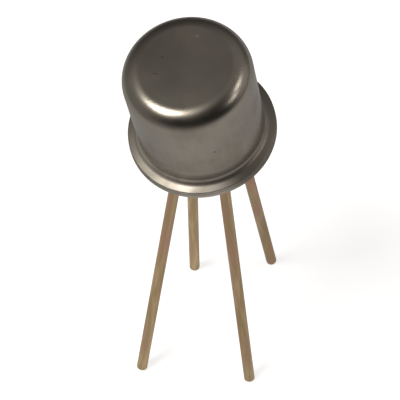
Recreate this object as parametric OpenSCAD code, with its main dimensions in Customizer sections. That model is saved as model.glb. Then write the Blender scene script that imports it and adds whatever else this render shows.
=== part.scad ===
// Dual-gate field-effect transistor in a four-lead round metal can (TO-72 pattern).
// It stands on the cut ends of its four spread leads, with the can leaning a little.
// Millimetres and degrees. Row frame: +Z up, the lead ends on z = 0, the origin under the middle.
// Can frame: z = 0 at the header's underside, +Z through the cap, +X through the locating tab.

/* [Cap] */
// Outside diameter of the cap's wall
cap_d = 4.78; // [4.52:0.01:4.95]
// Sheet thickness of the drawn cap
cap_sheet = 0.2; // [0.15:0.01:0.24]
// Height of the cap's top above the header's underside
can_h = 4.81; // [4.32:0.01:5.33]
// Outer radius of the shoulder between the wall and the top
shoulder_r = 0.74; // [0.4:0.01:1]
// Outer radius of the hollow flare from the wall to the brim
root_r = 0.28; // [0.26:0.01:0.36]
// How far the rounded mouth runs out beyond the wall
mouth_reach = 0.1; // [0.06:0.01:0.12]
// Width of the cap's brim beyond its wall
brim_w = 0.4; // [0.32:0.005:0.42]
// Slope of the brim's top face, which the weld has pressed down towards its rim
brim_slope = 20; // [15:1:22]
// Thickness of the brim at its rim
brim_rim_t = 0.1; // [0.09:0.005:0.16]

/* [Header] */
// Sheet thickness of the drawn header
header_sheet = 0.25; // [0.18:0.01:0.3]
// How far the header's flange stands out past the cap's brim
rim_step = 0.01; // [0.01:0.005:0.15]
// Height of the header's platform above the header's underside
platform_h = 1.25; // [0.95:0.01:1.5]
// Gap between the header's wall and the inside of the cap
cap_gap = 0.08; // [0.04:0.01:0.12]
// Inner radius of the bend between the header's flange and its wall
header_root_r = 0.06; // [0.04:0.01:0.08]
// Inner radius of the bend between the header's wall and its platform
platform_r = 0.1; // [0.06:0.01:0.12]
// Rounding of the flanges' stamped rims
rim_r = 0.05; // [0.02:0.005:0.07]

/* [Locating tab] */
// Length of the tab past the header's flange
tab_len = 0.75; // [0.71:0.01:1.22]
// Width of the tab
tab_w = 0.95; // [0.91:0.01:1.17]
// Radius of the tab's outer corners
tab_corner_r = 0.12; // [0.05:0.01:0.25]
// Radius of the hollow corners where the tab leaves the flange
tab_root_r = 0.2; // [0.1:0.01:0.3]

/* [Glass] */
// Width of the glass ring round each insulated lead
glass_ring = 0.26; // [0.2:0.01:0.28]
// Depth of the glass face above the header's underside
glass_recess = 0.22; // [0.18:0.01:0.4]
// Radius to which the glass climbs each lead
meniscus = 0.12; // [0.06:0.01:0.15]

/* [Leads] */
// Diameter of the lead wire
lead_d = 0.43; // [0.41:0.005:0.53]
// Diameter of the circle that the four leads stand on
pin_circle_d = 2.54; // [2.4:0.01:2.56]
// Centre-line radius of each lead's bend
bend_r = 0.9; // [0.5:0.05:1.5]
// How much thinner than the straight wire the bends are drawn, on the radius
bend_draw = 0.003; // [0.002:0.001:0.01]
// Bevel on the cut end of each lead
cut_bevel = 0.05; // [0.02:0.005:0.08]
// Height of the insulated leads' posts above the platform
post_h = 0.44; // [0.3:0.01:0.7]
// Diameter of the flattened head on each post
head_d = 0.58; // [0.54:0.01:0.7]
// Thickness of the flattened head
head_t = 0.09; // [0.05:0.01:0.15]
// Straight stretch of the drain lead below the header
drain_stub = 0.9; // [0.6:0.05:2]
// Straight stretch of the gate 2 lead below the header
gate_2_stub = 1.3; // [0.6:0.05:2]
// Straight stretch of the gate 1 lead below the header
gate_1_stub = 0.8; // [0.6:0.05:2]
// Straight stretch of the source lead below the header
source_stub = 1.2; // [0.6:0.05:2]

/* [Stand] */
// Height of the header's underside above the surface, at the can's axis
stand_h = 12.46; // [11:0.02:14]
// Lean of the can from upright
lean = 8.4; // [0:0.1:14]
// Direction towards which the can leans
lean_dir = 235.9; // [0:0.1:360]
// Direction of the locating tab
tab_dir = 66.8; // [54:0.2:80]
// Place of the header's underside along X, at the can's axis
can_x = 0.5; // [0:0.01:1]
// Place of the header's underside along Y, at the can's axis
can_y = 0.3; // [-0.2:0.01:0.8]
// Place of the drain lead's end along X
drain_x = -0.42; // [-1.2:0.01:0.2]
// Place of the drain lead's end along Y
drain_y = 2.43; // [1.6:0.01:3.2]
// Place of the gate 2 lead's end along X
gate_2_x = -3.05; // [-4:0.01:-2]
// Place of the gate 2 lead's end along Y
gate_2_y = -2.21; // [-3.2:0.01:-1.2]
// Place of the gate 1 lead's end along X
gate_1_x = 1.31; // [0.4:0.01:2.2]
// Place of the gate 1 lead's end along Y
gate_1_y = -3.33; // [-4.2:0.01:-2.4]
// Place of the source lead's end along X
source_x = 2.86; // [2:0.01:3.6]
// Place of the source lead's end along Y
source_y = 2.29; // [1.4:0.01:3.2]

/* [Die and bond wires] */
// Width of the square silicon die
die_w = 0.55; // [0.4:0.01:0.7]
// Thickness of the die
die_t = 0.2; // [0.12:0.01:0.3]
// Thickness of the die-attach alloy
attach_t = 0.03; // [0.02:0.005:0.05]
// Margin of the alloy round the die
attach_margin = 0.04; // [0.02:0.005:0.08]
// Distance of each bond pad from the die's middle, along each axis
pad_offset = 0.17; // [0.1:0.01:0.19]
// Diameter of the bond wire
wire_d = 0.03; // [0.025:0.001:0.05]
// Diameter of the ball that joins a wire to its pad
ball_d = 0.08; // [0.06:0.005:0.1]
// Height to which a wire's loop is drawn above the die
loop_h = 0.5; // [0.3:0.01:0.9]
// Distance from the can's axis to the source wire's foot on the platform
ground_bond_r = 0.85; // [0.7:0.01:1.1]

/* [Hidden] */

// Facets of a full turn: on the can, and on small rounds
$fn = 96;
small_fn = 32;

// The leads in pin order, counted from the tab
DRAIN = 0;
GATE_2 = 1;
GATE_1 = 2;
SOURCE = 3;
insulated = [DRAIN, GATE_2, GATE_1];
first_pin_angle = 45;
pin_step = 90;

// Can and header
cap_r = cap_d / 2;
mouth_r = cap_sheet + mouth_reach;
brim_r = cap_r + brim_w;
flange_r = brim_r + rim_step;
wall_r = cap_r - cap_sheet - cap_gap;
well_r = wall_r - header_sheet;
platform_z = platform_h - header_sheet;
// The flare's section stops this far short of the sloping face, whose own section laps it
flare_lap = 0.04;

// Leads and glass
lead_r = lead_d / 2;
pin_r = pin_circle_d / 2;
hole_r = lead_r + glass_ring;
post_top = platform_h + post_h;
bend_lap = 1;
stubs = [drain_stub, gate_2_stub, gate_1_stub, source_stub];
feet = [
    [drain_x, drain_y],
    [gate_2_x, gate_2_y],
    [gate_1_x, gate_1_y],
    [source_x, source_y]
];

// Die
attach_w = die_w + 2 * attach_margin;
die_z = platform_h + attach_t;
die_top = die_z + die_t;

// Bond wires
wire_sides = 8;
wire_steps = 16;
stitch_swell = 1.35;
ball_share = 0.1;

metal = [0.50, 0.47, 0.43];
gilt = [0.72, 0.60, 0.40];

function pin_angle(n) = first_pin_angle + n * pin_step;
function pin_at(n, r = pin_r) = [r * cos(pin_angle(n)), r * sin(pin_angle(n))];

// A direction or a point, turned about Z or about Y
function turn_z(p, a) = [p.x * cos(a) - p.y * sin(a), p.x * sin(a) + p.y * cos(a), p.z];
function turn_y(p, a) = [p.x * cos(a) + p.z * sin(a), p.y, p.z * cos(a) - p.x * sin(a)];

// A direction of the row frame, and a point of it, in the can's own frame
function along_can(d) = turn_z(turn_y(turn_z(d, -lean_dir), -lean), lean_dir - tab_dir);
function in_can(p) = along_can(p - [can_x, can_y, stand_h]);

// The route of a lead below the header: the side it bends to, the angle of its bend
// and the length of its last straight stretch, for an end that lies at height z
function route(n, z) =
    let (
        foot = in_can([feet[n].x, feet[n].y, z]),
        reach = [foot.x, foot.y] - pin_at(n),
        out = norm(reach) - bend_r,
        down = -stubs[n] - foot.z,
        straight = sqrt(out * out + down * down - bend_r * bend_r)
    )
    [atan2(reach.y, reach.x), atan2(out, down) + atan2(bend_r, straight), straight];

// Which way the last stretch of a route points, in the can's frame
function heading(way) = [
    sin(way[1]) * cos(way[0]),
    sin(way[1]) * sin(way[0]),
    -cos(way[1])
];

// The height of an end's middle, when the lowest point of its slanted rim is on z = 0
function foot_z(n) =
    let (fall = heading(route(n, 0)) * along_can([0, 0, -1]))
    (lead_r - cut_bevel) * sqrt(1 - fall * fall);

// The can's frame, placed in the row frame
module in_place() {
    translate([can_x, can_y, stand_h])
        rotate([0, 0, lean_dir])
            rotate([0, lean, 0])
                rotate([0, 0, tab_dir - lean_dir])
                    children();
}

// Section of a quarter bend in sheet metal, about its own centre
module bend_section(inner_r, sheet, turn) {
    rotate(turn)
        intersection() {
            difference() {
                circle(r = inner_r + sheet);
                circle(r = inner_r);
            }
            square(inner_r + sheet);
        }
}

// Section of a flat flange from x = start to its rounded rim at x = end
module flange_section(start, end, sheet) {
    translate([start, 0])
        square([end - rim_r - start, sheet]);
    translate([start, rim_r])
        square([end - start, sheet - 2 * rim_r]);
    for (y = [rim_r, sheet - rim_r])
        translate([end - rim_r, y])
            circle(r = rim_r, $fn = small_fn);
}

// Height of the brim's sloping top face at x, above the brim's underside
function top_face_y(x) = brim_rim_t + (brim_r - x) * tan(brim_slope);

// Section of a drawn cup's wall, from y = foot up, with its upper bend and its flat end
module cup_section(outer_r, foot, top, sheet, bend) {
    shoulder_y = top - sheet - bend;
    polygon([
        [outer_r - sheet, foot],
        [outer_r, foot],
        [outer_r, shoulder_y],
        [outer_r - sheet, shoulder_y]
    ]);
    translate([outer_r - sheet - bend, shoulder_y])
        bend_section(bend, sheet, 0);
    translate([0, top - sheet])
        square([outer_r - sheet - bend, sheet]);
}

// Section of the header: its flange's underside is on y = 0
module header_section() {
    flange_section(wall_r + header_root_r, flange_r, header_sheet);
    translate([wall_r + header_root_r, header_sheet + header_root_r])
        bend_section(header_root_r, header_sheet, 180);
    cup_section(wall_r, header_sheet + header_root_r, platform_h, header_sheet, platform_r);
}

// Section of the cap's wall, end and hollow flare: its brim's underside is on y = 0
module cap_section() {
    // The hollow flare runs level with the brim's sloping top face at this distance
    flare_x = cap_r + root_r * (1 - sin(brim_slope));
    flare_y = top_face_y(flare_x) + root_r * cos(brim_slope);
    inner_x = cap_r - cap_sheet;
    difference() {
        translate([inner_x, 0])
            square([flare_x - flare_lap - inner_x, flare_y]);
        translate([cap_r + root_r, flare_y])
            circle(r = root_r);
        translate([inner_x, 0])
            hollow_corner(mouth_r);
    }
    cup_section(cap_r, mouth_r, can_h - header_sheet, cap_sheet, shoulder_r - cap_sheet);
}

// Section of the cap's brim, from where the rounded mouth ends to its rounded rim
module brim_section() {
    flat_x = cap_r + mouth_reach;
    rim_x = brim_r - rim_r;
    rim_y = top_face_y(rim_x) - rim_r / cos(brim_slope);
    polygon([
        [flat_x, 0],
        [flat_x, top_face_y(flat_x)],
        [rim_x, top_face_y(rim_x)],
        [rim_x, rim_y],
        [brim_r, rim_y],
        [brim_r, 0]
    ]);
    translate([rim_x, rim_y])
        circle(r = rim_r, $fn = small_fn);
}

// Section of a hollow corner of radius r, in the angle between x = 0 and y = 0
module hollow_corner(r) {
    difference() {
        square(r);
        translate([r, r])
            circle(r = r);
    }
}

// The glass that climbs a lead, as a ring standing on z = 0
module meniscus_ring() {
    rotate_extrude()
        translate([lead_r, 0])
            hollow_corner(meniscus);
}

// Outline of the locating tab, from the can's axis outwards
module tab_outline() {
    tip = flange_r + tab_len;
    half = tab_w / 2;
    corner_y = half + tab_root_r;
    corner_x = sqrt(pow(flange_r + tab_root_r, 2) - corner_y * corner_y);
    // The inner end stops within the flange's flat ring
    start = flange_r - brim_w / 2;
    translate([start, -half])
        square([tip - tab_corner_r - start, tab_w]);
    translate([start, tab_corner_r - half])
        square([tip - start, tab_w - 2 * tab_corner_r]);
    for (side = [-1, 1]) {
        translate([tip - tab_corner_r, side * (half - tab_corner_r)])
            circle(r = tab_corner_r, $fn = small_fn);
        difference() {
            polygon([
                [start, 0],
                [start, side * start * corner_y / corner_x],
                [corner_x, side * corner_y],
                [corner_x, 0]
            ]);
            translate([corner_x, side * corner_y])
                circle(r = tab_root_r, $fn = small_fn);
        }
    }
}

// The drawn cap, welded by its brim to the header's flange
module cap() {
    color(metal)
        in_place()
            translate([0, 0, header_sheet]) {
                rotate_extrude()
                    cap_section();
                rotate_extrude()
                    brim_section();
            }
}

// The drawn header: flange with its tab, wall, and platform with three holes
module header() {
    color(metal)
        in_place()
            difference() {
                union() {
                    rotate_extrude()
                        header_section();
                    linear_extrude(header_sheet)
                        tab_outline();
                }
                for (n = insulated)
                    translate(pin_at(n))
                        cylinder(r = hole_r, h = 2 * platform_h, $fn = small_fn);
            }
}

// Section of the glass under the platform: it fills the header's well and follows
// the header's bends at its top and at its mouth
module well_section() {
    turn_r = header_root_r + header_sheet;
    depth = platform_z - glass_recess;
    translate([0, glass_recess])
        square([well_r - platform_r, depth]);
    translate([0, glass_recess])
        square([well_r, depth - platform_r]);
    translate([well_r - platform_r, platform_z - platform_r])
        circle(r = platform_r, $fn = small_fn);
    difference() {
        translate([well_r, glass_recess])
            square([turn_r, max(turn_r - glass_recess, 0)]);
        translate([well_r + turn_r, turn_r])
            circle(r = turn_r);
    }
}

// The fused glass: the filled well, a plug in each hole, and its climb up the leads
module glass_seal() {
    color([0.16, 0.20, 0.22])
        in_place()
            difference() {
                union() {
                    rotate_extrude()
                        well_section();
                    for (n = insulated)
                        translate(pin_at(n))
                            translate([0, 0, glass_recess]) {
                                cylinder(r = hole_r, h = platform_h - glass_recess, $fn = small_fn);
                                translate([0, 0, platform_h - glass_recess])
                                    meniscus_ring();
                            }
                    for (n = [DRAIN:SOURCE])
                        translate([pin_at(n).x, pin_at(n).y, glass_recess])
                            mirror([0, 0, 1])
                                meniscus_ring();
                }
                for (n = [DRAIN:SOURCE])
                    translate(pin_at(n))
                        cylinder(r = lead_r, h = 2 * platform_h, $fn = small_fn);
            }
}

// A straight stretch of lead wire that stands on its bevelled cut end
module cut_wire(length) {
    cylinder(r1 = lead_r - cut_bevel, r2 = lead_r, h = cut_bevel, $fn = small_fn);
    translate([0, 0, cut_bevel])
        cylinder(r = lead_r, h = length - cut_bevel, $fn = small_fn);
}

// One lead: from its top down through the glass, round its bend and out to its cut end
module lead(n, top, has_head) {
    way = route(n, foot_z(n));
    side = way[0];
    turn = way[1];
    straight = way[2];
    color(gilt)
        in_place()
            translate([pin_at(n).x, pin_at(n).y, 0])
                rotate([0, 0, side]) {
                    translate([0, 0, -stubs[n]])
                        cylinder(r = lead_r, h = stubs[n] + top, $fn = small_fn);
                    if (has_head)
                        translate([0, 0, top - head_t])
                            cylinder(d = head_d, h = head_t, $fn = small_fn);
                    translate([bend_r, 0, -stubs[n]]) {
                        // The bend reaches into the straight stretches at both its ends
                        rotate([90, 0, 0])
                            rotate([0, 0, 180 - bend_lap])
                                rotate_extrude(angle = turn + 2 * bend_lap)
                                    translate([bend_r, 0])
                                        circle(r = lead_r - bend_draw, $fn = small_fn);
                        rotate([0, -turn, 0])
                            translate([-bend_r, 0, -straight])
                                cut_wire(straight);
                    }
                }
}

module lead_1_drain() {
    lead(DRAIN, post_top, true);
}

module lead_2_gate_2() {
    lead(GATE_2, post_top, true);
}

module lead_3_gate_1() {
    lead(GATE_1, post_top, true);
}

// The source lead is welded to the platform's underside, so the can is its terminal too
module lead_4_source() {
    lead(SOURCE, platform_z, false);
}

module die() {
    color([0.30, 0.32, 0.36])
        in_place()
            translate([-die_w / 2, -die_w / 2, die_z])
                cube([die_w, die_w, die_t]);
}

module die_attach() {
    color([0.80, 0.72, 0.50])
        in_place()
            translate([-attach_w / 2, -attach_w / 2, platform_h])
                cube([attach_w, attach_w, attach_t]);
}

// A bond wire's centre line, as a cubic curve that leaves and lands upright
function loop_point(start, end, t) =
    let (
        rise = [start.x, start.y, die_top + loop_h],
        drop = [end.x, end.y, end.z + loop_h / 2]
    )
    pow(1 - t, 3) * start + 3 * t * pow(1 - t, 2) * rise
        + 3 * t * t * (1 - t) * drop + pow(t, 3) * end;

function loop_tangent(start, end, t) =
    let (
        rise = [start.x, start.y, die_top + loop_h],
        drop = [end.x, end.y, end.z + loop_h / 2],
        slope = pow(1 - t, 2) * (rise - start) + 2 * t * (1 - t) * (drop - rise)
            + t * t * (end - drop)
    )
    slope / norm(slope);

// The wire's radius: a ball on the pad, then plain wire, then a swollen foot
function wire_r(t) =
    t < ball_share ? ball_d / 2 * sqrt(1 - pow(t / ball_share, 2) * (1 - pow(wire_d / ball_d, 2)))
        : wire_d / 2 * (t > 1 - ball_share ? stitch_swell : 1);

module bond_wire(start, end) {
    run = [end.x - start.x, end.y - start.y, 0];
    across = [-run.y, run.x, 0] / norm(run);
    rings = [
        for (i = [0:wire_steps])
            let (
                t = i / wire_steps,
                middle = loop_point(start, end, t),
                up = cross(across, loop_tangent(start, end, t))
            )
            for (k = [0:wire_sides - 1])
                let (a = 360 * k / wire_sides)
                middle + wire_r(t) * (cos(a) * across + sin(a) * up)
    ];
    walls = [
        for (i = [0:wire_steps - 1], k = [0:wire_sides - 1])
            let (
                low = i * wire_sides,
                next = (k + 1) % wire_sides
            )
            [low + k, low + next, low + wire_sides + next, low + wire_sides + k]
    ];
    first_end = [for (k = [0:wire_sides - 1]) wire_sides - 1 - k];
    last_end = [for (k = [0:wire_sides - 1]) wire_steps * wire_sides + k];
    color(gilt)
        in_place()
            polyhedron(points = rings, faces = concat(walls, [first_end, last_end]), convexity = 4);
}

function pad_at(n) = [
    pad_offset * sign(cos(pin_angle(n))),
    pad_offset * sign(sin(pin_angle(n))),
    die_top
];

module wire_to_post(n) {
    bond_wire(pad_at(n), [pin_at(n).x, pin_at(n).y, post_top]);
}

module wire_drain() {
    wire_to_post(DRAIN);
}

module wire_gate_2() {
    wire_to_post(GATE_2);
}

module wire_gate_1() {
    wire_to_post(GATE_1);
}

// The source wire lands on the platform itself
module wire_source() {
    foot = pin_at(SOURCE, ground_bond_r);
    bond_wire(pad_at(SOURCE), [foot.x, foot.y, platform_h]);
}

cap();
header();
glass_seal();
lead_1_drain();
lead_2_gate_2();
lead_3_gate_1();
lead_4_source();
die();
die_attach();
wire_drain();
wire_gate_2();
wire_gate_1();
wire_source();
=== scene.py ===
# %% [markdown]
# A dual-gate mosfet in a small metal can.
# The part is a drawn nickel-plated cap, welded by its brim to a drawn header.
# Four gilt wires leave the header through fused glass, and the can stands on them.
# The solids of the frame are in metres and already in place.
# We dress them: the parts whose gloss shows every facet are turned again, finer.

# %% Frame
import bmesh
import bpy
from math import atan2, cos, degrees, hypot, pi, radians, sin, sqrt, tan
from mathutils import Matrix, Vector


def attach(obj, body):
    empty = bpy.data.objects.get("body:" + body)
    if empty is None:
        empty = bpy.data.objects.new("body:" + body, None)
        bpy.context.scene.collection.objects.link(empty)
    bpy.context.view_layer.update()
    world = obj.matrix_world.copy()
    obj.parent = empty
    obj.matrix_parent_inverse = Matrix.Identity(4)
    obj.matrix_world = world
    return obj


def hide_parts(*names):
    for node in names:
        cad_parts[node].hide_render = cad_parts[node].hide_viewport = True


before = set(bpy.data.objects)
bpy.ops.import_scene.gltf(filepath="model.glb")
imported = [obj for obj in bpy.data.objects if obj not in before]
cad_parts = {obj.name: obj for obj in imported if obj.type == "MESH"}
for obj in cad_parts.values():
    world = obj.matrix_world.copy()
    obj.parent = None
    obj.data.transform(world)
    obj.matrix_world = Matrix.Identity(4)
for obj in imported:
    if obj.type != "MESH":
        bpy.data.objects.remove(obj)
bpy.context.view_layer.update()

print("CAD nodes:", ", ".join(sorted(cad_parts)))

# %% [markdown]
# The can leans on its wires. Everything of it is drawn in the can's own frame,
# in millimetres, with z up along the can's axis and the tab at +X.
# One matrix then puts it in place, so no piece needs a turned object.

# %% Where the can stands
MM = 0.001
stand_height = 12.46
can_x, can_y = 0.5, 0.3
lean, lean_side, tab_side = radians(8.4), radians(235.9), radians(66.8)

turn = (Matrix.Rotation(lean_side, 4, "Z") @ Matrix.Rotation(lean, 4, "Y")
        @ Matrix.Rotation(tab_side - lean_side, 4, "Z"))
in_place = Matrix.Translation((can_x, can_y, stand_height)) @ turn
can_to_metres = Matrix.Scale(MM, 4) @ in_place
can_origin = Vector((can_x, can_y, stand_height)) * MM
can_axis = turn.to_3x3() @ Vector((0, 0, 1))
print("Can's axis:", [round(c, 4) for c in can_axis])

# %% [markdown]
# A turned part is a section swept round an axis. The section could be typed as a list
# of points, but arcs are easier with a pen: a vertex is extruded for a straight line,
# and spun for an arc. The wire that it leaves behind is then spun once more, full turn.
# That spin merges its own seam, but it leaves many vertices at a pole of the section,
# so doubles are merged after it.

# %% A pen for sections
FULL_TURN = 2 * pi


def pen_down(bm, x, z):
    """Starts a section: x is the distance from the axis and z the height."""
    return bm.verts.new((x, 0, z))


def line(bm, tip, x, z):
    """Draws a straight line from the tip to (x, z), which is the new tip."""
    made = bmesh.ops.extrude_vert_indiv(bm, verts=[tip])["verts"][0]
    made.co = (x, 0, z)
    return made


def arc(bm, tip, x, z, angle, steps=10):
    """Turns the tip about (x, z), anticlockwise as seen with x to the right and z up."""
    made = bmesh.ops.spin(bm, geom=[tip], cent=(x, 0, z), axis=(0, -1, 0), dvec=(0, 0, 0),
                          angle=radians(angle), steps=steps, use_duplicate=False)
    return made["geom_last"][0]


def turn_section(bm, steps=256):
    """Spins the section round the Z axis and closes the poles."""
    bmesh.ops.spin(bm, geom=bm.verts[:] + bm.edges[:], cent=(0, 0, 0), axis=(0, 0, 1),
                   dvec=(0, 0, 0), angle=FULL_TURN, steps=steps, use_merge=True)
    bmesh.ops.remove_doubles(bm, verts=bm.verts[:], dist=1e-5)


print("Pen ready: a line for a flat, an arc for a bend, a spin for the whole part")

# %% [markdown]
# Two helpers finish a mesh. One carries a mesh into another, for a piece that is
# drawn in several parts. The other puts a finished mesh in place, in metres, shades it
# smooth but for its sharp corners, and hides the CAD node that the new piece stands for.

# %% From mesh to piece
def join(bm, other, x=0, y=0):
    """Moves another bmesh into bm, shifted by x and y, and ends the other."""
    bmesh.ops.translate(other, vec=(x, y, 0), verts=other.verts[:])
    mesh = bpy.data.meshes.new("joined")
    other.to_mesh(mesh)
    other.free()
    bm.from_mesh(mesh)
    bpy.data.meshes.remove(mesh)


def part_from(bm, name, node, place=can_to_metres):
    """Makes a piece of the mesh, in place, which rides on the body and hides the node."""
    bm.transform(place)
    bmesh.ops.recalc_face_normals(bm, faces=bm.faces[:])
    mesh = bpy.data.meshes.new(name)
    bm.to_mesh(mesh)
    bm.free()
    for face in mesh.polygons:
        face.use_smooth = True
    mesh.set_sharp_from_angle(angle=radians(40))
    piece = bpy.data.objects.new(name, mesh)
    bpy.context.scene.collection.objects.link(piece)
    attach(piece, "root")
    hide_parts(node)
    print(f"{name}: {len(mesh.vertices)} vertices, {len(mesh.polygons)} faces")
    return piece


# %% [markdown]
# The cap is deep drawn from thin strip: a flat end, a soft shoulder, a straight wall,
# and a flare that runs out into the sloping brim. Its mouth is rounded inside as well,
# because sheet keeps nearly its thickness where it bends.
# A spin of one closed section gives all of it, with true arcs at the bends.

# %% Cap
sheet = 0.25                    # of the header, whose flange carries the brim
cap_r, cap_wall, can_h = 2.39, 0.2, 4.81
shoulder_r, root_r, mouth_r = 0.74, 0.28, 0.30
brim_r, brim_edge, rim_round = 2.79, 0.10, 0.05
end_ring = 0.8                  # one more ring on the flat end, for even faces
brim_slope = 20                 # degrees, down to the rim where the weld pressed it
slope_sin, slope_cos = sin(radians(brim_slope)), cos(radians(brim_slope))


def brim_top(x):
    """Height of the brim's sloping top face, the same as in the solid."""
    return sheet + brim_edge + (brim_r - x) * tan(radians(brim_slope))


flare_x = cap_r + root_r * (1 - slope_sin)
flare_z = brim_top(flare_x) + root_r * slope_cos
rim_x = brim_r - rim_round
rim_z = brim_top(rim_x) - rim_round / slope_cos
inner_r = cap_r - cap_wall
shoulder_z = can_h - shoulder_r

bm = bmesh.new()
tip = pen_down(bm, 0, can_h)
tip = line(bm, tip, end_ring, can_h)
tip = line(bm, tip, cap_r - shoulder_r, can_h)
tip = arc(bm, tip, cap_r - shoulder_r, shoulder_z, -90, 24)
tip = line(bm, tip, cap_r, (shoulder_z + flare_z) / 2)
tip = line(bm, tip, cap_r, flare_z)
tip = arc(bm, tip, cap_r + root_r, flare_z, 90 - brim_slope, 14)
tip = line(bm, tip, rim_x + rim_round * slope_sin, rim_z + rim_round * slope_cos)
tip = arc(bm, tip, rim_x, rim_z, brim_slope - 90, 6)
tip = line(bm, tip, brim_r, sheet)
tip = line(bm, tip, inner_r + mouth_r, sheet)
tip = arc(bm, tip, inner_r + mouth_r, sheet + mouth_r, -90, 8)
tip = line(bm, tip, inner_r, shoulder_z)
tip = arc(bm, tip, cap_r - shoulder_r, shoulder_z, 90, 12)
tip = line(bm, tip, 0, can_h - cap_wall)
turn_section(bm)
cap = part_from(bm, "cap_shell", "cap")

# %% [markdown]
# The header is a second, shallower drawing: a flange that the cap is welded to, a wall,
# and a platform with a hole for each insulated wire. A full spin would fill the holes,
# so the section stops at the platform's flat, and its two flats are filled round
# the holes instead. bridge_loops then lines each hole.

# %% Header
wall_r, header_root, platform_top, platform_round = 2.11, 0.06, 1.25, 0.1
flange_r, hole_r, pin_circle_r = 2.8, 0.475, 1.27
well_r = wall_r - sheet
flat_r = well_r - platform_round
bend_z = platform_top - sheet - platform_round
mouth = header_root + sheet     # radius under the bend to the flange, and its height
pins = [(pin_circle_r * cos(radians(45 + 90 * n)), pin_circle_r * sin(radians(45 + 90 * n)))
        for n in range(4)]
insulated = pins[:3]            # the fourth is joined to the header itself

bm = bmesh.new()
tip = pen_down(bm, flat_r, platform_top)
tip = arc(bm, tip, flat_r, bend_z, -90)
tip = line(bm, tip, wall_r, mouth)
tip = arc(bm, tip, wall_r + header_root, mouth, 90, 6)
tip = line(bm, tip, flange_r - rim_round, sheet)
tip = arc(bm, tip, flange_r - rim_round, sheet - rim_round, -90, 6)
tip = line(bm, tip, flange_r, rim_round)
tip = arc(bm, tip, flange_r - rim_round, rim_round, -90, 6)
tip = line(bm, tip, wall_r + header_root, 0)
tip = arc(bm, tip, wall_r + header_root, mouth, -90, 12)
tip = line(bm, tip, well_r, bend_z)
tip = arc(bm, tip, flat_r, bend_z, 90, 6)
turn_section(bm)

open_edges = [e for e in bm.edges if e.is_boundary]
for z in (platform_top, platform_top - sheet):
    flat_edges = [e for e in open_edges if abs(e.verts[0].co.z - z) < 1e-4]
    for x, y in insulated:
        made = bmesh.ops.create_circle(bm, cap_ends=False, segments=48, radius=hole_r,
                                       matrix=Matrix.Translation((x, y, z)))
        flat_edges += dict.fromkeys(e for v in made["verts"] for e in v.link_edges)
    bmesh.ops.triangle_fill(bm, use_beauty=True, edges=flat_edges)
for x, y in insulated:
    hole_edges = [e for e in bm.edges
                  if all(abs(hypot(v.co.x - x, v.co.y - y) - hole_r) < 1e-4 for v in e.verts)]
    bmesh.ops.bridge_loops(bm, edges=hole_edges)
print("Header turned, with", len(insulated), "holes in its platform")

# %% [markdown]
# The locating tab is one piece with the flange. Its outline is drawn with the same pen,
# lying down: concave corners at the flange, convex corners at the tip, and an arc that
# follows the flange back. The face is extruded to the sheet's thickness and stood up,
# and bevel breaks the long edges that lie outside the flange.

# %% Tab of the header
tab_reach, tab_half, tab_corner, tab_root = flange_r + 0.75, 0.475, 0.12, 0.2
root_y = tab_half + tab_root
root_x = sqrt((flange_r + tab_root) ** 2 - root_y ** 2)
root_angle = degrees(atan2(root_y, root_x))
meet = flange_r / (flange_r + tab_root)
inside = (flange_r - rim_round) / (flange_r + tab_root)

tab = bmesh.new()
tip = pen_down(tab, inside * root_x, -inside * root_y)
tip = line(tab, tip, meet * root_x, -meet * root_y)
tip = arc(tab, tip, root_x, -root_y, -(90 - root_angle), 8)
tip = line(tab, tip, tab_reach - tab_corner, -tab_half)
tip = arc(tab, tip, tab_reach - tab_corner, tab_corner - tab_half, 90, 8)
tip = line(tab, tip, tab_reach, tab_half - tab_corner)
tip = arc(tab, tip, tab_reach - tab_corner, tab_half - tab_corner, 90, 8)
tip = line(tab, tip, root_x, tab_half)
tip = arc(tab, tip, root_x, root_y, -(90 - root_angle), 8)
tip = line(tab, tip, inside * root_x, inside * root_y)
tip = arc(tab, tip, 0, 0, -2 * root_angle, 12)
bmesh.ops.remove_doubles(tab, verts=tab.verts[:], dist=1e-5)
bmesh.ops.contextual_create(tab, geom=tab.edges[:])
grown = bmesh.ops.extrude_face_region(tab, geom=tab.faces[:], use_keep_orig=True)
bmesh.ops.translate(tab, vec=(0, sheet, 0),
                    verts=[g for g in grown["geom"] if isinstance(g, bmesh.types.BMVert)])
tab.transform(Matrix.Rotation(pi / 2, 4, "X"))
bmesh.ops.recalc_face_normals(tab, faces=tab.faces[:])
long_edges = [e for e in tab.edges if abs(e.verts[0].co.z - e.verts[1].co.z) < 1e-6
              and all(hypot(v.co.x, v.co.y) > flange_r - 0.001 for v in e.verts)]
bmesh.ops.bevel(tab, geom=long_edges, offset=rim_round, offset_type="OFFSET", segments=3,
                profile=0.5, affect="EDGES", material=-1)
print("Tab:", len(tab.faces), "faces, from z", round(min(v.co.z for v in tab.verts), 4),
      "to", round(max(v.co.z for v in tab.verts), 4))
join(bm, tab)
header = part_from(bm, "header_shell", "header")

# %% [markdown]
# The glass is melted in place. It fills the header's well, plugs the three holes,
# and wets the wires, so that it climbs each of them in a hollow curve that ends at
# a small angle to the wire. The well's filling is one section about the can's axis.
# Each climb is its own section about the wire's axis, because the wetting is round it.

# %% Glass
lead_r, recess, climb = 0.215, 0.22, 0.12
contact = 10                    # degrees between the glass and the wire
overlap = 0.05                  # how far a climb reaches into the filling
lip = lead_r + climb * (1 - cos(radians(contact)))
wet = climb * (1 - sin(radians(contact)))
depth = mouth - recess
mouth_angle = degrees(atan2(depth, sqrt(mouth ** 2 - depth ** 2)))

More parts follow.
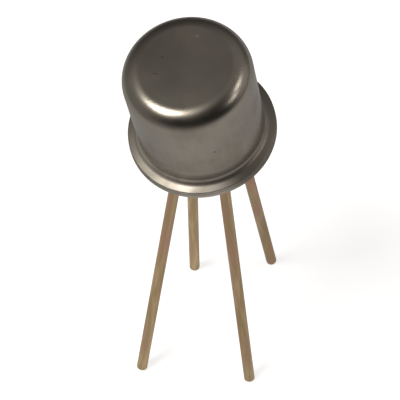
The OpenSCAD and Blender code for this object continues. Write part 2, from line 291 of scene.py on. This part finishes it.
bm = bmesh.new()
tip = pen_down(bm, 0, platform_top - sheet)
tip = line(bm, tip, flat_r, platform_top - sheet)
tip = arc(bm, tip, flat_r, bend_z, -90, 6)
tip = line(bm, tip, well_r, mouth)
tip = arc(bm, tip, well_r + mouth, mouth, mouth_angle, 3)
tip = line(bm, tip, tip.co.x, recess)
tip = line(bm, tip, 0, recess)
turn_section(bm)
for x, y in pins:
    ring = bmesh.new()
    start = pen_down(ring, lip, recess - wet)
    tip = arc(ring, start, lead_r + climb, recess - climb, contact - 90, 8)
    tip = line(ring, tip, tip.co.x, recess + overlap)
    tip = line(ring, tip, lead_r, recess + overlap)
    tip = line(ring, tip, lead_r, recess - wet)
    ring.edges.new((tip, start))
    turn_section(ring, 48)
    join(bm, ring, x, y)
for x, y in insulated:
    plug = bmesh.new()
    tip = pen_down(plug, lead_r, platform_top - sheet)
    tip = line(plug, tip, hole_r, platform_top - sheet)
    tip = line(plug, tip, hole_r, platform_top)
    tip = line(plug, tip, lead_r + climb, platform_top)
    tip = arc(plug, tip, lead_r + climb, platform_top + climb, contact - 90, 8)
    tip = line(plug, tip, lead_r, platform_top + wet)
    tip = line(plug, tip, lead_r, platform_top - sheet)
    turn_section(plug, 48)
    join(bm, plug, x, y)
glass = part_from(bm, "glass_fill", "glass_seal")

# %% [markdown]
# Each wire was spread by hand after the can was made, so it leaves the glass straight,
# bends once, and runs on straight to its sheared end. We work its route out as numbers:
# where its foot stands, seen from the can, gives the side, the angle and the length.
# A sheared end stands on one point of its edge, a little below the middle of the end.

# %% Routes of the wires
bend_r, chamfer = 0.9, 0.05
names = ["lead_1_drain", "lead_2_gate_2", "lead_3_gate_1", "lead_4_source"]
stubs = [0.9, 1.3, 0.8, 1.2]    # straight stretch below the header
feet = [(-0.42, 2.43), (-3.05, -2.21), (1.31, -3.33), (2.86, 2.29)]


def route(n, height):
    """Side and angle of a wire's bend, and its straight length to a foot at a height."""
    foot = in_place.inverted() @ Vector((*feet[n], height))
    reach = Vector((foot.x - pins[n][0], foot.y - pins[n][1]))
    out, down = reach.length - bend_r, -stubs[n] - foot.z
    straight = sqrt(out * out + down * down - bend_r * bend_r)
    return atan2(reach.y, reach.x), atan2(out, down) + atan2(bend_r, straight), straight


def foot_height(n):
    """Height of the middle of a wire's end above the surface that it stands on."""
    side, angle, _ = route(n, 0)
    heading = Vector((sin(angle) * cos(side), sin(angle) * sin(side), -cos(angle)))
    fall = heading.dot(turn.to_3x3().inverted() @ Vector((0, 0, -1)))
    return (lead_r - chamfer) * sqrt(1 - fall * fall)


routes = [route(n, foot_height(n)) for n in range(4)]
for name, (side, angle, straight) in zip(names, routes):
    print(f"{name}: bends {degrees(angle):.2f} degrees, then runs {straight:.3f} mm")

# %% [markdown]
# A wire could be a curve with a bevel, but a sweep in bmesh keeps the rings even, and
# gives the sheared end its own broken edge. The ring starts at the top, is extruded
# down, spun round the bend, and extruded again to the chamfer. The three insulated
# wires start with a flattened head, to which the bond wires are joined.

# %% Wires
post_top = platform_top + 0.44
head_r, head_t = 0.29, 0.09
end_steps = ((0.3, 0.985), (0.35, 0.93), (0.35, 0.852))   # share of chamfer, narrowing


def ring_down(bm, ring, step, scale=1.0):
    """Extrudes a ring of edges by step and scales it about its middle."""
    made = bmesh.ops.extrude_edge_only(bm, edges=ring)["geom"]
    verts = [g for g in made if isinstance(g, bmesh.types.BMVert)]
    bmesh.ops.translate(bm, vec=step, verts=verts)
    if scale != 1.0:
        middle = sum((v.co for v in verts), Vector()) / len(verts)
        bmesh.ops.scale(bm, vec=(scale,) * 3, verts=verts, space=Matrix.Translation(-middle))
    return [g for g in made if isinstance(g, bmesh.types.BMEdge)
            and all(v in verts for v in g.verts)]


leads = []
for n, name in enumerate(names):
    side, angle, straight = routes[n]
    has_head = pins[n] in insulated
    top = post_top if has_head else platform_top - sheet
    bm = bmesh.new()
    bmesh.ops.create_circle(bm, cap_ends=True, segments=40, radius=head_r if has_head else lead_r,
                            matrix=Matrix.Translation((0, 0, top)))
    ring = bm.edges[:]
    if has_head:
        ring = ring_down(bm, ring, (0, 0, -head_t))
        ring = ring_down(bm, ring, (0, 0, 0), lead_r / head_r)
        top -= head_t
    for _ in range(4):
        ring = ring_down(bm, ring, (0, 0, -(top + stubs[n]) / 4))
    bent = bmesh.ops.spin(bm, geom=ring, cent=(bend_r, 0, -stubs[n]), axis=(0, -1, 0),
                          dvec=(0, 0, 0), angle=angle, steps=max(4, round(degrees(angle) / 2)),
                          use_duplicate=False)
    ring = [g for g in bent["geom_last"] if isinstance(g, bmesh.types.BMEdge)]
    way = Vector((sin(angle), 0, -cos(angle)))
    for _ in range(12):
        ring = ring_down(bm, ring, way * (straight - chamfer) / 12)
    for share, narrow in end_steps:
        ring = ring_down(bm, ring, way * chamfer * share, narrow)
    bmesh.ops.contextual_create(bm, geom=ring)
    place = can_to_metres @ Matrix.Translation((*pins[n], 0)) @ Matrix.Rotation(side, 4, "Z")
    leads.append(part_from(bm, name + "_wire", name, place))

# %% [markdown]
# Materials are graphs of nodes, and most of their nodes only do sums. We wrap a socket
# in a small class, so that an expression such as 1 - mask adds the Math nodes by itself.
# Where the socket is a vector, the same signs add Vector Math nodes instead.

# %% Sockets as values
class Value:
    """An output socket that can be used in sums."""

    def __init__(self, finish, socket):
        self.finish, self.socket = finish, socket

    def sum(self, operation, first, second):
        kind = "VectorMath" if self.socket.type == "VECTOR" else "Math"
        return self.finish.node(kind, {"operation": operation}, [first, second])

    def __add__(self, other):
        return self.sum("ADD", self, other)

    __radd__ = __add__

    def __mul__(self, other):
        return self.sum("MULTIPLY", self, other)

    __rmul__ = __mul__

    def __sub__(self, other):
        return self.sum("SUBTRACT", self, other)

    def __rsub__(self, other):
        return self.sum("SUBTRACT", other, self)

    def __truediv__(self, other):
        return self.sum("DIVIDE", self, other)

    def __rtruediv__(self, other):
        return self.sum("DIVIDE", other, self)


print("Sums: +, -, * and / on a socket each add one node")

# %% [markdown]
# A finish is one material and its graph. One method, node, adds any node in one line:
# its kind, its settings, then its values and links. The others are the few steps
# that every finish needs, a mix of colours, a soft threshold, a bump, each by a name.

# %% Finishes
class Finish:
    """A material, or the world, whose nodes are added by one method."""

    def __init__(self, name, holder=None):
        self.holder = holder or bpy.data.materials.new(name)
        self.holder.use_nodes = True
        self.tree = self.holder.node_tree
        self.tree.nodes.clear()

    def feed(self, socket, value):
        """Links a value to an input, or sets it. A colour may leave out its alpha."""
        if isinstance(value, Value):
            self.tree.links.new(value.socket, socket)
        elif socket.type == "RGBA" and len(value) == 3:
            socket.default_value = (*value, 1.0)
        else:
            socket.default_value = value

    def node(self, kind, settings=None, inputs=None, out=0):
        """Adds a node: its kind, its settings, its inputs by name or in order."""
        made = self.tree.nodes.new("ShaderNode" + kind)
        for key, value in (settings or {}).items():
            setattr(made, key, value)
        pairs = enumerate(inputs) if isinstance(inputs, list) else (inputs or {}).items()
        for key, value in pairs:
            self.feed(made.inputs[key], value)
        return Value(self, made.outputs[out]) if len(made.outputs) else None

    def mix(self, share, low, high):
        """A colour between two colours. The node has a set of sockets for each type."""
        made = self.tree.nodes.new("ShaderNodeMix")
        made.data_type = "RGBA"
        sockets = [s for s in made.inputs if s.enabled]
        for socket, value in zip(sockets, (share, low, high)):
            self.feed(socket, value)
        return Value(self, next(s for s in made.outputs if s.enabled))

    def coats(self, colour, layers):
        """Lays colours over a colour in turn, each by its own share."""
        for share, over in layers:
            colour = self.mix(share, colour, over)
        return colour

    def ease(self, value, low, high):
        """0 below low, 1 above high, and a smooth step between."""
        return self.node("MapRange", {"interpolation_type": "SMOOTHSTEP"},
                         {"Value": value, "From Min": low, "From Max": high})

    def part(self, vector, axis):
        return self.node("SeparateXYZ", None, {"Vector": vector}, out=axis)

    def dot(self, vector, way):
        return self.node("VectorMath", {"operation": "DOT_PRODUCT"}, [vector, way], out="Value")

    def length(self, vector):
        return self.node("VectorMath", {"operation": "LENGTH"}, [vector], out="Value")

    def bump(self, height, strength, depth):
        return self.node("Bump", None, {"Height": height, "Strength": strength,
                                        "Distance": depth})

    def principled(self, inputs):
        """Ends a material with the one shader that suits metal, glass and silicon."""
        return self.finish(self.node("BsdfPrincipled", None, inputs))

    def finish(self, shader, surface="Material"):
        """Ends the graph with its output and gives back the material or the world."""
        self.node("Output" + surface, None, {"Surface": shader})
        return self.holder


def dress(piece, material):
    """Gives a piece one material and no other."""
    piece.data.materials.clear()
    piece.data.materials.append(material)
    print(piece.name, "is finished in", material.name)


# %% [markdown]
# Patterns on the can follow the can: its drawing marks run up the wall, and its stains
# keep their places on the end. Object coordinates start at the table here, because no
# piece is turned. A Mapping node of the kind TEXTURE undoes the can's lean, so they
# become heights and distances from the can's own axis, still in metres.

# %% The can's own coordinates
can_turn = tuple(turn.to_euler())


def laid_along(f, origin, angles):
    """Object coordinates, as seen from a frame with its own origin and turn."""
    here = f.node("TexCoord", out="Object")
    return f.node("Mapping", {"vector_type": "TEXTURE"},
                  {"Vector": here, "Location": tuple(origin), "Rotation": angles})


def can_coordinates(f):
    return laid_along(f, can_origin, can_turn)


print("Patterns turn with the can by", [round(degrees(a), 1) for a in can_turn], "degrees")

# %% [markdown]
# Wear comes in a few kinds. Cloudy tones and streaks are a noise, stretched where they
# run one way. Pits and specks are round and stand apart, so they come from the cells
# of a Voronoi pattern. A mark that has its own place is an oval about a point.

# %% Kinds of wear
def noise(f, at, scale, detail=2.0, roughness=0.5, stretch=None):
    """Soft blotches, scale of them to the metre, drawn out where stretch is under 1."""
    if stretch:
        at = at * stretch
    return f.node("TexNoise", None, {"Vector": at, "Scale": scale, "Detail": detail,
                                     "Roughness": roughness})


def pits(f, at, scale, size, share):
    """Round spots in some of the cells of a pattern: 1 in the middle of each, 0 outside."""
    cells = {"Vector": at, "Scale": scale}
    near = f.node("TexVoronoi", None, cells)
    cell = f.node("TexVoronoi", None, cells, out="Color")
    pick = f.node("SeparateColor", None, {"Color": cell}, out="Red")
    chosen = f.node("Math", {"operation": "LESS_THAN"}, [pick, share])
    return chosen * (1 - f.ease(near, 0.3 * size, size))


def mark(f, at, place, reach):
    """1 at one place of the can, 0 outside an oval about it. Both are in millimetres."""
    place, reach = (tuple(MM * c for c in vector) for vector in (place, reach))
    return 1 - f.ease(f.length((at - place) / reach), 0.5, 1.0)


def above(f, up, low, high):
    """0 below one height of the can and 1 above another, in millimetres."""
    return f.ease(up, MM * low, MM * high)


print("Kinds of wear: noise, pits, marks with a place, bands of height")

# %% [markdown]
# The cap is plated with dull nickel over drawn steel. Nickel is a metal, so its colour
# is the colour of its reflection: a warm grey. Handling leaves hairlines, pits and faint
# dull patches, and three larger marks lie on the end. Three other colours are painted
# light: a painted shade darkens one side of the brim, a painted highlight lightens the
# brim at the front, and a pale band of painted reflection runs round the foot of the wall.
# A pit changes the colour, the roughness and the height together, as a real one does.

# %% Nickel
plate = ((0.372, 0.335, 0.282), (0.440, 0.402, 0.342))
# Painted shade: the first colour darkens one side of the brim.
brim_shade_colour, dull, pit = (0.215, 0.188, 0.155), (0.310, 0.272, 0.222), (0.085, 0.070, 0.056)
# Painted light: the first two colours lighten the foot of the wall as a painted reflection, and
# the third lightens the front of the brim as a painted highlight.
foot_sheen_colour, foot_glint_colour, brim_highlight_colour = (0.60, 0.55, 0.475), (0.95, 0.88, 0.77), (0.74, 0.685, 0.60)
hairline, speck = (0.56, 0.53, 0.48), (0.72, 0.70, 0.64)
# The first way is the side of the brim that gets painted shade; the second is the front, which
# gets a painted highlight.
shaded_side, front_side = (0.39, -0.92, 0.0), (-0.965, -0.262, 0.0)


def nickel(name, drawn):
    """Dull nickel plate. Drawn is how deep the marks of the drawing die are."""
    f = Finish(name)
    at = can_coordinates(f)
    up = f.part(at, "Z")
    outward = f.node("VectorMath", {"operation": "NORMALIZE"}, [at])
    side, front = f.dot(outward, shaded_side), f.dot(outward, front_side)

    wall = above(f, up, 0.7, 1.1) * (1 - above(f, up, 3.8, 4.4))
    # A band of painted reflection, which lightens the foot of the wall.
    foot_sheen = above(f, up, 0.42, 0.62) * (1 - above(f, up, 0.80, 1.40))
    shoulder = above(f, up, 3.8, 4.2) * (1 - above(f, up, 4.78, can_h))
    flare = 1 - above(f, up, 0.45, 1.10)
    # The side away from the painted shade, where the band of painted reflection is palest.
    unshaded_side = 1 - f.ease(side, -0.7, 0.1)
    # Painted shade on one side of the brim.
    brim_shade = f.ease(side, -0.05, 0.55) * (1 - above(f, up, 0.45, 0.75))
    # Painted highlight on the front of the brim.
    brim_highlight = f.ease(front, 0.80, 0.98) * (1 - above(f, up, 0.40, 0.60))

    cloud = noise(f, at, 420.0)
    patch = f.ease(noise(f, at, 800.0, stretch=(1.0, 1.0, 0.7)), 0.50, 0.70)
    grain = noise(f, at, 26000.0, roughness=0.6)
    lines = wall * f.ease(noise(f, at, 9000.0, stretch=(1.0, 1.0, 0.06)), 0.42, 0.72)
    spots = pits(f, at, 1500.0, 0.10, 0.16)
    specks = pits(f, at + (0.003, 0.001, 0.002), 2300.0, 0.09, 0.10)
    stains = (mark(f, at, (0.197, 0.926, can_h), (0.04, 0.04, 0.1))
              + 0.6 * mark(f, at, (-0.512, 0.947, can_h), (0.03, 0.17, 0.1)))
    specks = specks + 0.5 * mark(f, at, (1.312, -0.05, can_h), (0.07, 0.10, 0.1))

    # Three of these coats are painted light: painted shade on one side of the brim, a painted
    # reflection round the foot of the wall, and a painted highlight on the front of the brim. The
    # others are the plate's own tone and wear.
    colour = f.coats(f.mix(f.ease(cloud, 0.3, 0.7), *plate), [
        (0.68 * brim_shade, brim_shade_colour), (0.6 * foot_sheen, foot_sheen_colour), (0.8 * foot_sheen * unshaded_side, foot_glint_colour),
        (0.72 * brim_highlight, brim_highlight_colour), (0.5 * patch, dull), (0.14 * lines, hairline),
        (0.75 * (spots + stains), pit), (0.7 * specks, speck)])
    rough = (0.22 + 0.08 * cloud + 0.06 * patch + 0.02 * lines + 0.25 * spots
             + 0.18 * flare + 0.02 * shoulder)
    height = 0.10 * grain + 0.2 * lines * drawn + 0.8 * cloud - 2.2 * spots + 1.2 * specks
    return f.principled({"Base Color": colour, "Metallic": 1.0, "Roughness": rough,
                         "Normal": f.bump(height, 0.22, 3e-6),
                         "Specular Tint": (0.7, 0.7, 0.7)})


dress(cap, nickel("dull_nickel_cap", 1.0))
dress(header, nickel("dull_nickel_header", 0.4))

# %% [markdown]
# The wires are an iron-nickel-cobalt alloy under thin gold. The gold is dull and has
# rubbed pink and brown along its length. Each wire's colour is also scaled as a whole
# as painted shade, darker for the two wires at the right, away from the key lamp.
# The streaks run along each wire, so its pattern starts at its foot and is laid along
# its straight part, where it is stretched.

# %% Gilt wire
# Painted shade: each wire's colour is scaled as a whole, darker for the two at the right.
painted_wire_shade = [1.05, 1.02, 0.90, 0.86]       # how pale each wire is


def gilt(name, n):
    """Dull gold on one wire, with the pattern turned along its straight part."""
    f = Finish(name)
    side, angle, _ = routes[n]
    heading = turn @ Matrix.Rotation(side, 4, "Z") @ Matrix.Rotation(-angle, 4, "Y")
    at = laid_along(f, Vector((*feet[n], foot_height(n))) * MM, tuple(heading.to_euler()))

    def tone(red, green, blue):
        return red * painted_wire_shade[n], green * painted_wire_shade[n], blue * painted_wire_shade[n]

    streak = f.ease(noise(f, at, 5200.0, 3.0, 0.6, (1.0, 1.0, 0.09)), 0.40, 0.66)
    blotch = f.ease(noise(f, at, 1300.0, 3.0, 0.6, (1.0, 1.0, 0.35)), 0.45, 0.65)
    stain = f.ease(noise(f, at, 2300.0, stretch=(1.0, 1.0, 0.06)), 0.50, 0.62)
    fine = noise(f, at, 30000.0, 2.0, 0.6, (1.0, 1.0, 0.25))
    spots = pits(f, at, 3300.0, 0.16, 0.22)
    colour = f.coats(f.mix(streak, tone(0.56, 0.408, 0.221), tone(0.83, 0.627, 0.375)), [
        (0.55 * stain, tone(0.58, 0.345, 0.170)), (0.85 * blotch, tone(0.78, 0.490, 0.355)),
        (0.6 * spots, (0.24, 0.145, 0.09))])
    return f.principled({"Base Color": colour, "Metallic": 1.0,
                         "Roughness": 0.38 + 0.14 * blotch + 0.08 * streak + 0.2 * spots,
                         "Normal": f.bump(0.6 * fine + streak - 2.0 * spots, 0.4, 4e-6)})


for n, lead in enumerate(leads):
    dress(lead, gilt("dull_gilt_" + names[n], n))

# %% [markdown]
# The glass is a dark grey-green sealing glass. It is opaque at this thickness, glossy
# where it cooled in air, and holds a few fine bubbles that show as pale dots.
# So it needs no light through it: a dark base under a clear gloss looks the same.

# %% Sealing glass
f = Finish("sealing_glass")
at = can_coordinates(f)
cloud = noise(f, at, 700.0, 3.0)
bubbles = pits(f, at, 4200.0, 0.2, 0.3)
colour = f.coats(f.mix(cloud, (0.012, 0.018, 0.020), (0.030, 0.040, 0.042)),
                 [(0.6 * bubbles, (0.12, 0.14, 0.14))])
dress(glass, f.principled({"Base Color": colour, "Roughness": 0.06 + 0.12 * cloud,
                           "IOR": 1.52, "Normal": f.bump(cloud - bubbles, 0.3, 1e-5)}))

# %% [markdown]
# Inside, where only a cut would show it, a silicon die lies on a gold alloy. Its top is
# a dark oxide, with four square pads of metal and the comb of the gates between them.
# The CAD solid has the right shape, so it only gets a material. The pads are drawn by
# their distance from the axis, folded by ABSOLUTE, so that one square gives all four.

# %% Silicon
die_top = 1.475
pad_middle, pad_half = 0.17 * MM, 0.05 * MM
comb_half = (0.10 * MM, 0.22 * MM)
f = Finish("silicon_die")
at = can_coordinates(f)
x, y, z = (f.part(at, axis) for axis in "XYZ")


def size_of(f, value):
    return f.node("Math", {"operation": "ABSOLUTE"}, [value])


def within(f, value, reach):
    """1 where the value is closer to zero than reach."""
    return 1 - f.ease(size_of(f, value), reach * 0.94, reach)


pad = (within(f, size_of(f, x) - pad_middle, pad_half)
       * within(f, size_of(f, y) - pad_middle, pad_half))
comb = within(f, x, comb_half[0]) * within(f, y, comb_half[1])
bands = f.node("TexWave", {"wave_type": "BANDS", "bands_direction": "Y"},
               {"Vector": at, "Scale": 9000.0, "Distortion": 0.0})
top = above(f, z, die_top - 0.005, die_top)
metal = top * (pad + comb * f.ease(bands, 0.45, 0.55) * (1 - pad))
oxide = f.mix(noise(f, at, 2500.0), (0.045, 0.040, 0.085), (0.060, 0.075, 0.11))
dress(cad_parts["die"], f.principled({
    "Base Color": f.mix(metal, oxide, (0.80, 0.79, 0.76)), "Metallic": metal,
    "Roughness": 0.16 + 0.25 * metal}))

# %% [markdown]
# Fine gold wires join the die to the posts, and a gold alloy holds it to the platform.
# Both are one finish with other values: the drawn wire is yellow and bright, and
# the alloy, which froze from a melt with silicon in it, is paler and rougher.

# %% Alloy and bond wires
def gold(name, low, high, rough):
    """Gold between two colours, finely mottled."""
    f = Finish(name)
    mottle = noise(f, can_coordinates(f), 9000.0, 3.0, 0.6)
    return f.principled({"Base Color": f.mix(mottle, low, high), "Metallic": 1.0,
                         "Roughness": rough + 0.15 * mottle,
                         "Normal": f.bump(mottle, 0.3, 3e-6)})


dress(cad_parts["die_attach"],
      gold("die_attach_alloy", (0.55, 0.45, 0.26), (0.75, 0.66, 0.42), 0.32))
bond_gold = gold("bond_gold", (0.78, 0.56, 0.24), (0.90, 0.68, 0.32), 0.18)
for node_name in ("wire_drain", "wire_gate_2", "wire_gate_1", "wire_source"):
    dress(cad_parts[node_name], bond_gold)

# %% [markdown]
# The camera looks down at about 55 degrees through a long lens, from the side that
# the drain points away from. It is set once, from a place, a direction and a side that
# is up. Its three axes are the columns of its matrix, and it looks along minus z.

# %% Camera
camera_at = Vector((-0.073, -48.276, 78.241)) * MM
ahead = Vector((0.002184, 0.568846, -0.822442))
upward = Vector((0.113826, 0.816957, 0.565355))
across = ahead.cross(upward).normalized()
upward = across.cross(ahead)

camera = bpy.data.objects.new("camera", bpy.data.cameras.new("camera"))
bpy.context.scene.collection.objects.link(camera)
camera.matrix_world = (Matrix.Translation(camera_at)
                       @ Matrix((across, upward, -ahead)).transposed().to_4x4())
camera.data.lens, camera.data.sensor_width = 196.73, 36
camera.data.clip_start, camera.data.clip_end = 0.001, 100
bpy.context.scene.camera = camera
bpy.context.scene.view_settings.view_transform = "Standard"
print("Camera looks down at", round(degrees(atan2(-ahead.z, hypot(ahead.x, ahead.y))), 1),
      "degrees, from", round(camera_at.length / MM, 1), "mm off")

# %% [markdown]
# A shiny can shows its room more than itself, so the room needs shapes as well as light.
# The world gives them by direction: a dim ceiling, a pale left side, a brighter right
# side and a pale corner high up behind, a dark side behind the camera and a dimmer one
# opposite, and paler light from below. To the camera itself it is plain white.

# %% World
def direction(azimuth, elevation):
    """A direction from its angles in degrees: round from +X, and up."""
    a, e = radians(azimuth), radians(elevation)
    return Vector((cos(a) * cos(e), sin(a) * cos(e), sin(e)))


def lobe(azimuth, elevation, edge, full):
    """1 in the middle of a shape in the room, 0 beyond its edge, as cosines."""
    return world.ease(world.dot(seen, tuple(direction(azimuth, elevation))), edge, full)


world = Finish("room", bpy.data.worlds.new("room"))
bpy.context.scene.world = world.holder
seen = world.node("TexCoord", out="Generated")
height = world.dot(seen, (0.0, 0.0, 1.0))
level = (0.118 + 0.11 * lobe(185, 25, 0.25, 0.95) + 0.31 * lobe(-5, 10, 0.76, 0.97)
         + 0.14 * lobe(42, 50, 0.78, 0.96))
level = level * (1 - 0.90 * lobe(-82, 12, 0.15, 0.78)) * (1 - 0.45 * lobe(95, 15, 0.55, 0.97))
level = level + 0.15 * (1 - world.ease(height, -0.25, 0.02)) * (1 - level)
tint = world.mix(world.ease(height, -0.2, 0.4), (1.0, 0.985, 0.955), (1.0, 0.975, 0.94))
room = world.node("Background", None, {"Color": tint, "Strength": level})
white = world.node("Background", None, {"Color": (1.0, 1.0, 1.0), "Strength": 1.0})
to_camera = world.node("LightPath", out="Is Camera Ray")
world.finish(world.node("MixShader", None, [to_camera, room, white]), "World")
print("Room:", len(world.tree.nodes), "nodes")

# %% [markdown]
# One soft square lamp stands high on the left and gives the bright mark on the shoulder.
# Two small ones at the right give its thin marks. A lamp is aimed by a track rotation:
# it shines along minus z, so its z axis is turned away from what it lights.

# %% Lamps
warm = (1.0, 0.97, 0.93)
lit_point = Vector((can_x, can_y, 15)) * MM


def lamp(name, azimuth, elevation, distance, size, power):
    """A square lamp, placed by its direction and distance from the can."""
    back = direction(azimuth, elevation)
    data = bpy.data.lights.new(name, "AREA")
    data.size, data.energy, data.color = size, power, warm
    made = bpy.data.objects.new(name, data)
    bpy.context.scene.collection.objects.link(made)
    made.location = lit_point + back * distance
    made.rotation_euler = back.to_track_quat("Z", "Y").to_euler()
    print(f"{name}: {power} W, radiance {power / (pi * size * size):.1f}")


lamp("key_lamp", -161, 61, 0.15, 0.064, 0.096)
lamp("right_lamp", -4, 43, 0.20, 0.046, 0.0215)
lamp("low_lamp", -25, 32, 0.20, 0.036, 0.0130)

# %% [markdown]
# The table is a large white sheet. Light Path gives it three looks. To the camera it
# glows nearly white, all white further off, and the lit part still shows the soft
# shadow of the can. To a glossy ray it is dimmer, with one pale patch near the can and
# a pale side far to the left, because the metal shows more of it than the eye does.
# It is on the stage only, so it is no part of the object.

# %% Table
bm = bmesh.new()
bmesh.ops.create_grid(bm, x_segments=1, y_segments=1, size=1.5)
mesh = bpy.data.meshes.new("table")
bm.to_mesh(mesh)
bm.free()
table = bpy.data.objects.new("table", mesh)
bpy.context.scene.collection.objects.link(table)

black, full_white = (0.0, 0.0, 0.0), (1.0, 1.0, 1.0)
patch_middle = (0.045, 0.035, 0.0)
f = Finish("white_table")
to_camera, to_gloss, through = (
    f.node("LightPath", out=f"Is {ray} Ray") for ray in ("Camera", "Glossy", "Transmission"))
here = f.node("TexCoord", out="Object")
near = 1 - f.ease(f.length(here - patch_middle), 0.065, 0.125)
far = 1 - f.ease(f.part(here, "X"), -0.20, -0.08)
beyond = f.ease(f.length(here), 0.03, 0.20)
glow = ((0.72 + 0.28 * beyond) * to_camera + (near * 0.30 + far * 0.18) * to_gloss
        + 0.72 * through)
glowing = f.node("Emission", None, {"Color": f.mix(glow, black, full_white)})
matt = f.node("BsdfDiffuse", None, {"Color": (0.88, 0.88, 0.88)})
dimmer = f.node("BsdfDiffuse", None, {"Color": (0.40, 0.40, 0.40)})
lit = f.node("MixShader", None, [to_gloss, matt, dimmer])
dress(table, f.finish(f.node("AddShader", None, [lit, glowing])))
